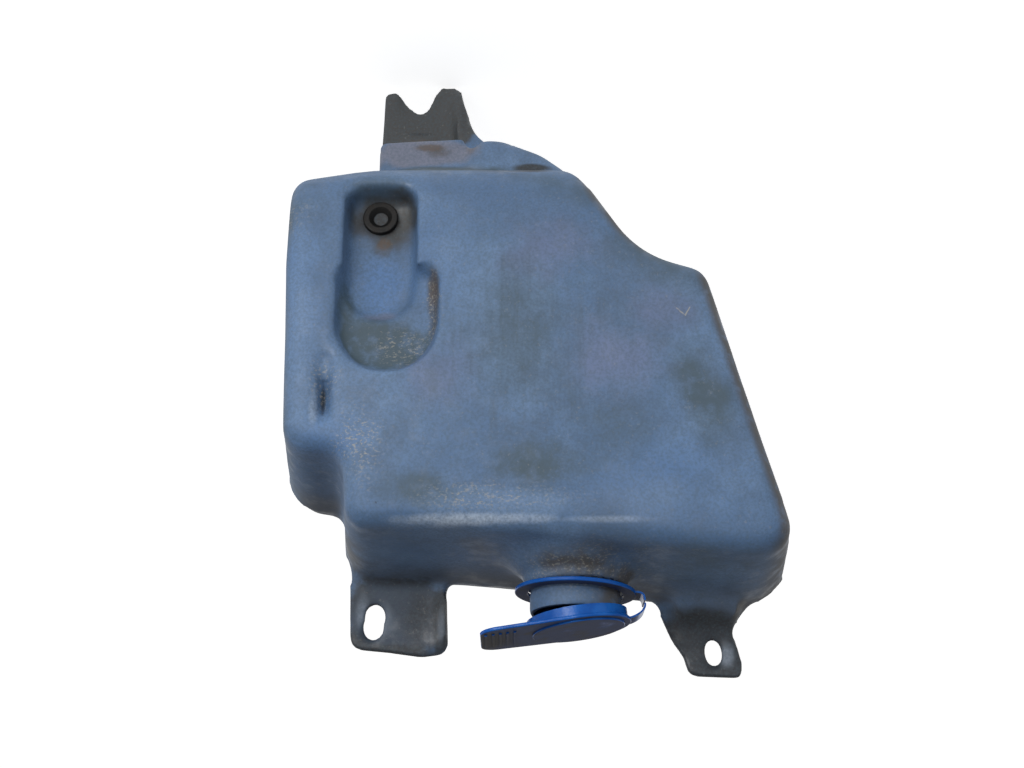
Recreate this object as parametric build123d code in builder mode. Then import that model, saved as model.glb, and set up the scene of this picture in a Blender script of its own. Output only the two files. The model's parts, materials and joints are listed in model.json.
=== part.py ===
# Washer fluid reservoir of a car: a blow-moulded tank with a snap-on filler cap and a rubber pump grommet.
# Millimetres, installed position, +Z up. The seat plane of the two mounting ears is y = 0, the pump side
# looks toward -Y, and the origin is the centre of the wide ear's slot.
import os
from math import cos, hypot, radians, sin, tan

from build123d import *

os.makedirs("parts", exist_ok=True)

# Moulding
wall = 2.2                  # blown wall
ear_thickness = 4.4         # where the two walls are pinched together
front_depth = 86.0          # from the parting plane to the pump side
back_depth = 20.0           # from the parting plane to the hidden side
front_draft = 5.0
back_draft = 10.0
edge_radius = 11.0          # round the pump side
roll_radius = 28.0          # the rounder bottom edge of the pump side
back_radius = 8.0
back_corner = 12.0          # least radius in the parting outline of the back
flash_height = 0.5          # the pinch line that the mould leaves
flash_width = 1.4

# Outlines in the parting plane, counter-clockwise: x, z and the corner's radius. A corner with none is
# rounded later with its edges, or lies inside another form.
body_outline = [
    (48.4, -217.4, 0),
    (49.3, -160.0, 120.0),
    (45.8, -56.8, 20.0),
    (17.5, -56.8, 3.5),
    (14.8, -19.6, 19.0),
    (-42.0, -19.8, 90.0),
    (-188.0, -6.5, 31.0),
    (-207.0, -20.6, 0),
    (-168.8, -162.4, 19.0),
    (-135.4, -172.7, 42.0),
    (-101.9, -225.4, 0),
    (3.0, -225.0, 60.0),
]

# The sump below the pump side: a flat ledge above the fork and a rounder lobe beside it
ledge_depth = 36.0
ledge_edge = 3.0
ledge_outline = [(-48.0, -205.0, 0), (-48.0, -259.0, 7.0), (5.2, -256.0, 7.0), (5.2, -205.0, 0)]
lobe_depth = 43.0
lobe_edge = 9.0
lobe_outline = [
    (-98.0, -200.0, 0),
    (-104.0, -233.0, 14.0),
    (-86.0, -247.0, 30.0),
    (-62.0, -256.6, 30.0),
    (-42.0, -255.4, 14.0),
    (-42.0, -200.0, 0),
]

# Pump recess: a wide pocket for the motor and a narrow channel down to the inlet
recess_proud = 4.0          # how far its tools reach out of the pump side
recess_lip = 2.5
lip_band = 2.6              # edges this near the pump side belong to a hollow's lip
pinch_lip = 1.2
recess_floor_radius = 3.0
pocket_depth = 10.0
pocket_draft = 14.0
pocket_centre = -8.5
pocket_width = 50.0
pocket_top = -101.7
pocket_bottom = -157.0
pocket_foot = 6.0
channel_depth = 16.0
channel_draft = 6.0
channel_centre = -4.3
channel_width = 35.5
channel_top = -131.4
channel_bottom = -201.4
channel_foot = 9.0
channel_floor_radius = 2.0
round_end_flat = 0.5        # left straight at a pocket's round end

# Hollow where the two walls were squeezed toward each other, with a slot in its floor
pinch_centre = (20.2, -93.5)
pinch_length = 38.0
pinch_width = 8.6
pinch_depth = 4.0
pinch_draft = 25.0
pinch_floor_radius = 1.5
pinch_slot_centre = (20.2, -90.0)
pinch_slot_length = 19.0
pinch_slot_width = 3.8
pinch_slot_depth = 8.5
pinch_slot_draft = 4.0
pinch_slot_floor_radius = 0.8

# Fork below the sump, pinched flat, with a raised flank down its wider prong
fork_outline = [
    (-60.0, -240.0, 0),
    (-60.0, -262.0, 0),
    (-50.2, -270.5, 12.0),
    (-45.0, -284.0, 60.0),
    (-39.6, -307.9, 4.0),
    (-27.2, -307.4, 2.5),
    (-18.3, -286.2, 5.0),
    (-3.6, -304.5, 2.5),
    (3.2, -303.2, 3.0),
    (5.2, -245.0, 0),
]
flank_root = (-47.5, -250.0, 15.0, 18.0, 5.0)    # x, z, width, height above the parting plane, corner
flank_tip = (-36.6, -304.5, 6.0, 3.6, 1.4)
web_reach = 0.6                                  # share of a web's length that is hollow
dish_depth = 0.8                             # worn and pressed seat of the stud, between the prongs
dish_outline = [(-31.5, -315.0, 0), (-5.0, -315.0, 0), (-6.5, -277.5, 10.0), (-31.5, -277.5, 9.0)]
plate_edge = 0.8

# Wide ear, whose slot is the origin, with a stiffening rib down one edge
wide_ear_outline = [
    (17.2, -54.0, 0),
    (14.5, -33.0, 30.0),
    (13.0, -16.0, 30.0),
    (12.0, 13.6, 7.0),
    (-12.0, 16.0, 60.0),
    (-24.0, 17.9, 30.0),
    (-37.4, 15.8, 6.5),
    (-35.8, -21.0, 0),
    (-30.0, -40.0, 0),
    (0.0, -50.0, 0),
]
wide_slot_length = 17.5
wide_slot_width = 9.0
wide_slot_turn = 86.0
rib_height = 4.0
rib_draft = 8.0
rib_edge = 1.2
rib_outline = [(-37.2, 11.8, 1.5), (-36.0, -34.0, 0), (-31.4, -34.0, 0), (-32.6, 11.8, 1.5)]

# Narrow ear on its funnel
narrow_ear_outline = [
    (-139.0, -12.0, 0),
    (-147.8, 9.5, 25.0),
    (-153.6, 18.0, 8.0),
    (-155.4, 27.0, 6.0),
    (-182.2, 28.4, 3.5),
    (-183.0, 20.5, 8.0),
    (-178.6, 4.0, 2.5),
    (-188.5, -8.0, 15.0),
    (-194.0, -24.0, 0),
    (-150.0, -30.0, 0),
]
narrow_slot_centre = (-168.4, 15.6)
narrow_slot_length = 13.6
narrow_slot_width = 6.4
narrow_slot_turn = 98.7
funnel_root = (-165.0, -20.0, 42.0, 36.0, 9.0)   # x, z, width, height above the parting plane, corner
funnel_tip = (-166.6, 4.0, 26.0, 2.6, 2.2)

# Filler neck
neck_x = -99.0
neck_y = -40.0
neck_radius = 22.4
neck_wall = 2.2
neck_root = -34.0           # where its core starts, inside the tank
neck_rim = 5.5
neck_seat = -7.9            # the shoulder under the cap's ring
shoulder_radius = 25.4
shoulder_edge = 0.8
rim_chamfer = 0.7

# Pump grommet, pressed into the channel's floor
grommet_x = -3.0
grommet_z = -189.0
grommet_hole = 7.0          # radius in the tank
grommet_flange = 8.7
grommet_flange_height = 2.4
grommet_tail = 7.5
grommet_tail_radius = 8.2
grommet_bore = 3.6
grommet_mouth = 5.8
grommet_mouth_depth = 2.0
grommet_tail_end = 6.6
grommet_edge = 0.8
grommet_gap = 0.05

# Cap: a ring round the neck and a lid, held together by a strap that bends in the middle
cap_gap = 0.45
cap_seat_gap = 0.1
ring_thickness = 2.0
ring_width = 6.2
ring_tilt = 2.0
strap_width = 14.0
strap_thickness = 0.9
bend_distance = 32.6        # from the neck's axis to the line that the strap bends on
bend_drop = 5.8             # from the lid's seat down to that line
bend_gap = 0.94             # from that line to the centre of each half's rounded end
bend_pull = 3.5             # how far each half runs on before it turns
strap_root = 2.0            # how far each half starts inside its piece
ring_edge = 0.5
lid_ajar = 7.7              # the lid sits cocked, open by this angle
lid_radius = 25.4
lid_thickness = 1.8
lid_edge = 0.6
panel_radius = 22.2
panel_height = 1.0
panel_edge = 0.5
skirt_height = 4.6
skirt_wall = 1.3
plug_radius = 18.9
plug_height = 3.0
plug_wall = 1.5
tab_reach = 46.9
tab_end_width = 43.0
tab_corner = 9.0
grip_count = 5
grip_pitch = 3.4
grip_length = 30.0
grip_width = 1.3
grip_height = 0.7
grip_inset = 9.5            # from the tab's end to the middle of its ribs
plug_edge = 0.6

# Mould work is done with the parting plane as XY and +Z toward the pump side
half_ear = ear_thickness / 2
half_depth = front_depth / 2
standing = (Align.CENTER, Align.CENTER, Align.MIN)
parting = Plane(origin=(0, -half_ear, 0), x_dir=(1, 0, 0), z_dir=(0, -1, 0))


def outline_edges(outline):
    """Edges of one closed outline, its corners rounded."""
    with BuildLine() as line:
        FilletPolyline(*[(x, z) for x, z, _ in outline], radius=[r for *_, r in outline], close=True)
    return line.edges()


def drafted(outline, height, draft, inset=0):
    """A drafted block on the parting plane, inset all round and at its face."""
    with BuildPart() as block:
        with BuildSketch():
            make_face(outline_edges(outline))
            if inset:
                offset(amount=-inset, kind=Kind.INTERSECTION)
        extrude(amount=height - inset, taper=draft)
    return block.part


def front_edges(part):
    return part.faces().sort_by(Axis.Z)[-1].edges()


def main_body(inset):
    """The pump side of the tank, with its bottom edge rolled more than the rest."""
    with BuildPart() as body:
        add(drafted(body_outline, front_depth, front_draft, inset))
        fillet(front_edges(body).sort_by(Axis.Y)[:2], roll_radius - inset)
        corner = body.edges().filter_by(lambda edge: edge.bounding_box().size.Z > half_depth)
        fillet(front_edges(body).sort_by(Axis.Y)[3:] + corner.sort_by(Axis.X)[:1], edge_radius - inset)
    return body.part


def sump(inset):
    """The ledge above the fork and the lobe beside it."""
    with BuildPart() as ledge:
        add(drafted(ledge_outline, ledge_depth, front_draft, inset))
        fillet(front_edges(ledge), ledge_edge - inset)
    with BuildPart() as lobe:
        add(drafted(lobe_outline, lobe_depth, front_draft, inset))
        fillet(front_edges(lobe), lobe_edge - inset)
    return ledge.part, lobe.part


def footprint():
    """Everything the blown tank covers of the parting plane."""
    with BuildSketch() as whole:
        for outline in (body_outline, ledge_outline, lobe_outline):
            make_face(outline_edges(outline))
    return whole.sketch


def back_half(inset):
    """The hidden side: shallow, with every corner of the parting outline softened."""
    with BuildPart() as back:
        with BuildSketch():
            add(footprint())
            offset(amount=back_corner, kind=Kind.INTERSECTION)
            offset(amount=-2 * back_corner)
            offset(amount=back_corner)
            if inset:
                offset(amount=-inset, kind=Kind.INTERSECTION)
        extrude(amount=back_depth - inset, taper=back_draft)
        fillet(front_edges(back), back_radius - inset)
        if inset:
            # A softened corner reaches past the pump side's wall, and stays solid there
            with BuildSketch(mode=Mode.PRIVATE) as covered:
                add(footprint())
                offset(amount=-inset)
            extrude(covered.sketch, amount=back_depth, mode=Mode.INTERSECT)
    return back.part.mirror(Plane.XY)


def flash():
    """The thin line of plastic that the two mould halves leave between them."""
    with BuildPart() as line:
        with BuildSketch():
            add(footprint())
            offset(amount=flash_height)
        extrude(amount=flash_width / 2, both=True)
    return line.part


def sunk(shape, depth, draft, floor_radius, grow):
    """The tool of a hollow in the pump side, or of the same hollow grown by the wall."""
    with BuildPart() as tool:
        with BuildSketch():
            add(shape)
            offset(amount=grow + recess_proud * tan(radians(draft)))
        extrude(amount=recess_proud + depth + grow, taper=draft)
        fillet(front_edges(tool), floor_radius + grow)
    return Pos(0, 0, front_depth + recess_proud) * tool.part.mirror(Plane.XY)


def pocket_shape(centre, width, top, bottom, foot):
    """A pocket as seen from the pump side: a round top end and two corners at its foot."""
    left, right = centre - width / 2, centre + width / 2
    corners = [(left, bottom, foot), (right, bottom, foot)]
    crown = width / 2 - round_end_flat
    with BuildSketch() as seen:
        make_face(outline_edges(corners + [(right, top, crown), (left, top, crown)]))
    return seen.sketch


def groove_shape(centre, length, width):
    with BuildSketch() as seen:
        with Locations(centre):
            SlotOverall(length, width, rotation=90)
    return seen.sketch


def recess(grow):
    """The pump's pocket and the channel down to its inlet."""
    pocket = pocket_shape(pocket_centre, pocket_width, pocket_top, pocket_bottom, pocket_foot)
    channel = pocket_shape(channel_centre, channel_width, channel_top, channel_bottom, channel_foot)
    return [
        sunk(pocket, pocket_depth, pocket_draft, recess_floor_radius, grow),
        sunk(channel, channel_depth, channel_draft, channel_floor_radius, grow),
    ]


def pinch(grow):
    """The squeezed hollow and the slot in its floor."""
    hollow = groove_shape(pinch_centre, pinch_length, pinch_width)
    slit = groove_shape(pinch_slot_centre, pinch_slot_length, pinch_slot_width)
    return [
        sunk(hollow, pinch_depth, pinch_draft, pinch_floor_radius, grow),
        sunk(slit, pinch_slot_depth, pinch_slot_draft, pinch_slot_floor_radius, grow),
    ]


def pump_side():
    """The outside of the main body with its hollows and their rounded lips."""
    with BuildPart() as side:
        add(main_body(0))
        add(recess(0), mode=Mode.SUBTRACT)
        lips = side.edges(Select.LAST).filter_by_position(Axis.Z, front_depth - lip_band, front_depth)
        fillet(lips, recess_lip)
        add(pinch(0), mode=Mode.SUBTRACT)
        lips = side.edges(Select.LAST).filter_by_position(Axis.Z, front_depth - lip_band, front_depth)
        fillet(lips, pinch_lip)
    return side.part


def web(root, tip, inset=0, reach=1):
    """A web that tapers from the tank onto a plate, or the hollow in its first part."""
    run, fall = abs(tip[1] - root[1]), root[3] - tip[3]
    lower = inset * hypot(run, fall) / run
    end = [start + reach * (finish - start) for start, finish in zip(root, tip)]
    with BuildPart() as block:
        for x, z, width, height, corner in (root, end):
            with BuildSketch(Plane(origin=(x, z, 0), x_dir=(1, 0, 0), z_dir=(0, -1, 0))):
                RectangleRounded(width - 2 * inset, 2 * (height - lower), corner - inset)
        loft(ruled=True)
        split(bisect_by=Plane.XY)
    return block.part


def plate(outline):
    """Both walls pinched together, as an ear or a fork."""
    with BuildPart() as ear:
        with BuildSketch():
            make_face(outline_edges(outline))
        extrude(amount=half_ear, both=True)
        fillet(ear.faces().filter_by(Axis.Z).edges(), plate_edge)
    return ear.part


def slot_through(centre, length, width, turn):
    with BuildPart() as cut:
        with BuildSketch():
            with Locations(centre):
                SlotOverall(length, width, rotation=turn)
        extrude(amount=ear_thickness, both=True)
    return cut.part


# Outside of the moulding
with BuildPart() as mould:
    add(pump_side())
    add(sump(0))
    add(back_half(0))
    add(flash())
    for outline in (fork_outline, wide_ear_outline, narrow_ear_outline):
        add(plate(outline))
    with BuildPart(mode=Mode.PRIVATE) as rib:
        add(drafted(rib_outline, half_ear + rib_height, rib_draft))
        fillet(front_edges(rib), rib_edge)
    add(rib)
    add(web(flank_root, flank_tip))
    add(web(funnel_root, funnel_tip))
    add(slot_through((0, 0), wide_slot_length, wide_slot_width, wide_slot_turn), mode=Mode.SUBTRACT)
    add(
        slot_through(narrow_slot_centre, narrow_slot_length, narrow_slot_width, narrow_slot_turn),
        mode=Mode.SUBTRACT,
    )
    with BuildSketch(Plane.XY.offset(half_ear - dish_depth)):
        make_face(outline_edges(dish_outline))
    extrude(amount=flank_tip[3] - half_ear + dish_depth, mode=Mode.SUBTRACT)

# Inside of the moulding
with BuildPart() as inside:
    add(main_body(wall))
    add(sump(wall))
    add(back_half(wall))
    add(web(flank_root, flank_tip, wall, web_reach))
    add(web(funnel_root, funnel_tip, wall, web_reach))
    add(recess(wall), mode=Mode.SUBTRACT)
    add(pinch(wall), mode=Mode.SUBTRACT)

# Neck and its shoulder, with the grommet's hole
channel_floor = -half_ear - (front_depth - channel_depth)
grommet_plane = Plane(origin=(grommet_x, channel_floor, grommet_z), x_dir=(1, 0, 0), z_dir=(0, -1, 0))
with BuildPart() as tank:
    add(parting.from_local_coords(mould.part))
    with BuildPart(Plane((neck_x, neck_y, neck_root)), mode=Mode.PRIVATE) as neck:
        Cylinder(shoulder_radius, neck_seat - neck_root, align=standing)
        chamfer(neck.faces().sort_by(Axis.Z)[-1].edges(), shoulder_edge)
        Cylinder(neck_radius, neck_rim - neck_root, align=standing)
    add(neck)
    add(parting.from_local_coords(inside.part), mode=Mode.SUBTRACT)
    with Locations((neck_x, neck_y, neck_root)):
        Cylinder(neck_radius - neck_wall, neck_rim - neck_root, align=standing, mode=Mode.SUBTRACT)
        Cylinder(
            shoulder_radius - wall, neck_seat - wall - neck_root, align=standing, mode=Mode.SUBTRACT
        )
    rim = tank.faces().filter_by(Axis.Z).sort_by(Axis.Z)[-1]
    chamfer(rim.edges().filter_by(GeomType.CIRCLE), rim_chamfer)
    with Locations(grommet_plane):
        Cylinder(grommet_hole, 4 * wall, mode=Mode.SUBTRACT)
tank.part.label = "tank"
export_step(tank.part, "parts/tank.step")

# Rubber grommet, turned about the inlet's axis: radius and height above the channel's floor
with BuildPart() as turned:
    with BuildSketch(Plane.XZ):
        with BuildLine():
            Polyline(
                (grommet_bore, -grommet_tail),
                (grommet_tail_end, -grommet_tail),
                (grommet_tail_radius, -wall - grommet_gap),
                (grommet_hole - grommet_gap, -wall - grommet_gap),
                (grommet_hole - grommet_gap, grommet_gap),
                (grommet_flange, grommet_gap),
                (grommet_flange, grommet_gap + grommet_flange_height),
                (grommet_mouth, grommet_gap + grommet_flange_height),
                (grommet_bore, grommet_gap + grommet_flange_height - grommet_mouth_depth),
                close=True,
            )
        make_face()
    revolve(axis=Axis.Z)
    fillet(turned.edges().group_by(Axis.Z)[-1].sort_by(SortBy.RADIUS)[-1], grommet_edge)
pump_grommet = grommet_plane.from_local_coords(turned.part)
pump_grommet.label = "pump_grommet"
export_step(pump_grommet, "parts/pump_grommet.step")


def strap(start, way):
    """One half of the strap: from a piece of the cap to its round end beside the bend line."""
    side = 1 if start[1] > -bend_drop else -1
    finish = (-bend_distance, side * bend_gap - bend_drop)
    with BuildPart() as half:
        with BuildSketch(Plane(origin=(0, 0, 0), x_dir=(1, 0, 0), z_dir=(0, -1, 0))):
            with BuildLine():
                Bezier(
                    start,
                    (start[0] + bend_pull * way[0], start[1] + bend_pull * way[1]),
                    (finish[0], finish[1] + side * bend_pull),
                    finish,
                )
            trace(line_width=strap_thickness)
            with Locations(finish):
                Circle(strap_thickness / 2)
        extrude(amount=strap_width / 2, both=True)
    return half.part


# Cap, drawn round the neck's axis with the lid's seat on the rim at z = 0
cap_bore = neck_radius + cap_gap
cap_place = Pos(neck_x, neck_y, neck_rim + cap_seat_gap)

# Ring, tilted on the shoulder, with its half of the strap
tilt = radians(ring_tilt)
ring_radius = cap_bore + ring_width
ring_drop = neck_rim - neck_seat - shoulder_radius * tan(tilt) - ring_thickness / 2 / cos(tilt)
ring_arm = ring_radius - strap_root
with BuildPart() as ring:
    with Locations(Location((0, 0, -ring_drop), (0, ring_tilt, 0))):
        Cylinder(ring_radius, ring_thickness)
        Cylinder(cap_bore, ring_thickness, mode=Mode.SUBTRACT)
    fillet(ring.edges().filter_by(GeomType.CIRCLE), ring_edge)
    add(strap((-ring_arm * cos(tilt), ring_arm * sin(tilt) - ring_drop), (-cos(tilt), sin(tilt))))
cap_ring = cap_place * ring.part
cap_ring.label = "cap_ring"
export_step(cap_ring, "parts/cap_ring.step")

# Lid, drawn closed and then turned about the strap's bend to where it sits
with BuildPart() as lid:
    with BuildSketch():
        Circle(lid_radius)
        with BuildLine():
            FilletPolyline(
                (0, -lid_radius),
                (tab_reach, -tab_end_width / 2),
                (tab_reach, tab_end_width / 2),
                (0, lid_radius),
                radius=[0, tab_corner, tab_corner, 0],
                close=True,
            )
        make_face()
    extrude(amount=lid_thickness)
    fillet(lid.faces().filter_by(Axis.Z).edges(), lid_edge)
    with Locations((0, 0, lid_thickness)):
        Cylinder(panel_radius, panel_height, align=standing)
    fillet(lid.edges().group_by(Axis.Z)[-1], panel_edge)
    with Locations((tab_reach - grip_inset, 0, lid_thickness)):
        with GridLocations(grip_pitch, 0, grip_count, 1):
            Box(grip_width, grip_length, 2 * grip_height)
    with Locations((0, 0, -skirt_height)):
        Cylinder(cap_bore + skirt_wall, skirt_height, align=standing)
        Cylinder(cap_bore, skirt_height, align=standing, mode=Mode.SUBTRACT)
    with Locations((0, 0, -plug_height)):
        with BuildPart(mode=Mode.PRIVATE) as plug:
            Cylinder(plug_radius, plug_height, align=standing)
            chamfer(plug.edges().group_by(Axis.Z)[0], plug_edge)
        add(plug.part)
        Cylinder(plug_radius - plug_wall, plug_height + panel_height, align=standing, mode=Mode.SUBTRACT)
    add(strap((strap_root - lid_radius, lid_thickness / 2), (-1, 0)))
bend_line = Axis((-bend_distance, 0, -bend_drop), (0, -1, 0))
cap_lid = cap_place * lid.part.rotate(bend_line, lid_ajar)
cap_lid.label = "cap_lid"
export_step(cap_lid, "parts/cap_lid.step")
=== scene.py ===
import json
from math import radians

import bpy
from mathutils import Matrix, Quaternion, Vector

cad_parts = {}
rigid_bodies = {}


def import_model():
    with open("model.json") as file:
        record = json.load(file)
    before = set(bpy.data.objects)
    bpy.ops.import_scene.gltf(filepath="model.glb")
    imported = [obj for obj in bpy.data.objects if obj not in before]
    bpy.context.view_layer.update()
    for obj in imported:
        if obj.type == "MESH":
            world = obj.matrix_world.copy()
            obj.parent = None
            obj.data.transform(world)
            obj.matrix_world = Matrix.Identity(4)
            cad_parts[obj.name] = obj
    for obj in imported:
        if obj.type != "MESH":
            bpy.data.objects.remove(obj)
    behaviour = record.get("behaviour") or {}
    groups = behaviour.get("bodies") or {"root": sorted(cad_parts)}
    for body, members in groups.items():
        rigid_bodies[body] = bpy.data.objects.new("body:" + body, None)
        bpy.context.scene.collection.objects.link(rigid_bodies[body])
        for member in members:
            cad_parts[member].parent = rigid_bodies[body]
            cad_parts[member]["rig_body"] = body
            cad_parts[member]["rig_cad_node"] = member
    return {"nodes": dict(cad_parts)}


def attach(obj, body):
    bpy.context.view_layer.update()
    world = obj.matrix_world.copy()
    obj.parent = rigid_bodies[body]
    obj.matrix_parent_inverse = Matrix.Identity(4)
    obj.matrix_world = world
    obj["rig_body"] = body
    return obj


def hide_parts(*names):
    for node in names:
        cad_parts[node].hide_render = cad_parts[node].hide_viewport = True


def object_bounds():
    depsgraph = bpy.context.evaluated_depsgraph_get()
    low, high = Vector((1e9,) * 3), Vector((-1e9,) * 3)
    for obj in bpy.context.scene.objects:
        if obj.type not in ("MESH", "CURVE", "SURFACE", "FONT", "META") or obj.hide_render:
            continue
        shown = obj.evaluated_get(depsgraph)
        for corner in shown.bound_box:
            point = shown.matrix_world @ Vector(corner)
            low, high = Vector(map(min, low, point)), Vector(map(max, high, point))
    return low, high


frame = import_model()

cadLow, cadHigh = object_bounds()
nodes = frame["nodes"]
print("frame loaded:", ", ".join(sorted(nodes)))

# camera: the reservoir is photographed upside down, so the camera is rolled half a turn
view = {
    "eye": (-0.06869, -0.79086, 0.17514),
    "target": (-0.06869, -0.044, -0.11156),
    "lens": 56.25,
    "sensor": 36.0,
    "roll": 180.0,
}


def placeCamera():
    lens = bpy.data.cameras.new("camera")
    lens.lens = view["lens"]
    lens.sensor_width = view["sensor"]
    lens.clip_start, lens.clip_end = 0.01, 50.0
    camera = bpy.data.objects.new("camera", lens)
    bpy.context.scene.collection.objects.link(camera)
    camera.location = view["eye"]
    aim = Vector(view["target"]) - Vector(view["eye"])
    camera.rotation_mode = "QUATERNION"
    camera.rotation_quaternion = aim.to_track_quat("-Z", "Y") @ Quaternion((0, 0, 1), radians(view["roll"]))
    bpy.context.scene.camera = camera


placeCamera()
bpy.context.scene.view_settings.view_transform = "Standard"


# small helpers for modelling by hand
def pickOnly(*objects):
    if bpy.context.object and bpy.context.object.mode != "OBJECT":
        bpy.ops.object.mode_set(mode="OBJECT")
    bpy.ops.object.select_all(action="DESELECT")
    for o in objects:
        o.select_set(True)
    bpy.context.view_layer.objects.active = objects[0]


def editMesh(o, what="VERT"):
    pickOnly(o)
    bpy.ops.object.mode_set(mode="EDIT")
    bpy.ops.mesh.select_mode(type=what)
    bpy.ops.mesh.select_all(action="DESELECT")


def selectFaces(o, wanted):
    bpy.ops.object.mode_set(mode="OBJECT")
    for f in o.data.polygons:
        f.select = wanted(f)
    bpy.ops.object.mode_set(mode="EDIT")


def selectPoints(o, wanted):
    bpy.ops.object.mode_set(mode="OBJECT")
    o.data.polygons.foreach_set("select", [False] * len(o.data.polygons))
    o.data.edges.foreach_set("select", [False] * len(o.data.edges))
    for v in o.data.vertices:
        v.select = wanted(v)
    bpy.ops.object.mode_set(mode="EDIT")


# helpers for building materials
def node(tree, kind, sockets=None, **settings):
    made = tree.nodes.new("ShaderNode" + kind)
    for name, value in settings.items():
        setattr(made, name, value)
    for name, value in (sockets or {}).items():
        if isinstance(value, bpy.types.NodeSocket):
            tree.links.new(value, made.inputs[name])
        else:
            made.inputs[name].default_value = value
    return made


def maths(tree, operation, first, second=0.0, clamp=False):
    return node(tree, "Math", {0: first, 1: second}, operation=operation, use_clamp=clamp).outputs[0]


def product(tree, first, *others):
    for other in others:
        first = maths(tree, "MULTIPLY", first, other)
    return first


def ramp(tree, value, low, high, toLow=0.0, toHigh=1.0):
    sockets = {0: value, 1: low, 2: high, 3: toLow, 4: toHigh}
    return node(tree, "MapRange", sockets, interpolation_type="SMOOTHSTEP").outputs[0]


def blendColour(tree, amount, under, over, mode="MIX"):
    sockets = {0: amount, 6: under, 7: over}
    return node(tree, "Mix", sockets, data_type="RGBA", blend_type=mode).outputs[2]


def paint(red, green, blue):
    return (red, green, blue, 1.0)


def newGroup(name, inputs, outputs):
    tree = bpy.data.node_groups.new(name, "ShaderNodeTree")
    for label, kind, value in inputs:
        socket = tree.interface.new_socket(name=label, in_out="INPUT", socket_type="NodeSocket" + kind)
        if value is not None:
            socket.default_value = value
    for label, kind in outputs:
        tree.interface.new_socket(name=label, in_out="OUTPUT", socket_type="NodeSocket" + kind)
    return tree, tree.nodes.new("NodeGroupInput").outputs, tree.nodes.new("NodeGroupOutput").inputs


def use(tree, group, sockets):
    made = tree.nodes.new("ShaderNodeGroup")
    made.node_tree = group
    for name, value in sockets.items():
        if isinstance(value, bpy.types.NodeSocket):
            tree.links.new(value, made.inputs[name])
        else:
            made.inputs[name].default_value = value
    return made.outputs[0]


def makeMottle():
    # patchy cover: noise cut between two levels
    tree, got, give = newGroup(
        "mottle",
        [
            ("Vector", "Vector", None),
            ("Scale", "Float", 20.0),
            ("Detail", "Float", 4.0),
            ("Stretch", "Vector", (1, 1, 1)),
            ("Low", "Float", 0.4),
            ("High", "Float", 0.6),
        ],
        [("Mask", "Float")],
    )
    stretched = node(tree, "VectorMath", {0: got["Vector"], 1: got["Stretch"]}, operation="MULTIPLY")
    noise = node(
        tree, "TexNoise",
        {"Vector": stretched.outputs[0], "Scale": got["Scale"], "Detail": got["Detail"], "Roughness": 0.6},
    )
    limits = {0: noise.outputs[0], 1: got["Low"], 2: got["High"]}
    mask = node(tree, "MapRange", limits, interpolation_type="SMOOTHSTEP")
    tree.links.new(mask.outputs[0], give["Mask"])
    return tree


def makeStain():
    # one ragged oval stain at a place on the part, in metres
    tree, got, give = newGroup(
        "stain",
        [
            ("Vector", "Vector", None),
            ("Centre", "Vector", (0, 0, 0)),
            ("Size", "Vector", (0.02, 0.02, 0.02)),
            ("Turn", "Float", 0.0),
            ("Feather", "Float", 0.6),
            ("Ragged", "Float", 0.6),
            ("Grain", "Float", 60.0),
        ],
        [("Mask", "Float")],
    )
    turning = {"Vector": got["Vector"], "Center": got["Centre"], "Angle": got["Turn"]}
    turned = node(tree, "VectorRotate", turning, rotation_type="Y_AXIS")
    away = node(tree, "VectorMath", {0: turned.outputs[0], 1: got["Centre"]}, operation="SUBTRACT").outputs[0]
    scaled = node(tree, "VectorMath", {0: away, 1: got["Size"]}, operation="DIVIDE").outputs[0]
    distance = node(tree, "VectorMath", {0: scaled}, operation="LENGTH").outputs["Value"]
    grain = {"Vector": got["Vector"], "Scale": got["Grain"], "Detail": 5.0, "Roughness": 0.65}
    uneven = maths(tree, "SUBTRACT", node(tree, "TexNoise", grain).outputs[0], 0.5)
    shift = maths(tree, "MULTIPLY", uneven, maths(tree, "MULTIPLY", got["Ragged"], 2.5))
    reach = maths(tree, "ADD", distance, shift)
    inner = maths(tree, "SUBTRACT", 1.0, got["Feather"])
    mask = node(tree, "MapRange", {0: reach, 1: 1.0, 2: inner}, interpolation_type="SMOOTHSTEP")
    tree.links.new(mask.outputs[0], give["Mask"])
    return tree


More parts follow.
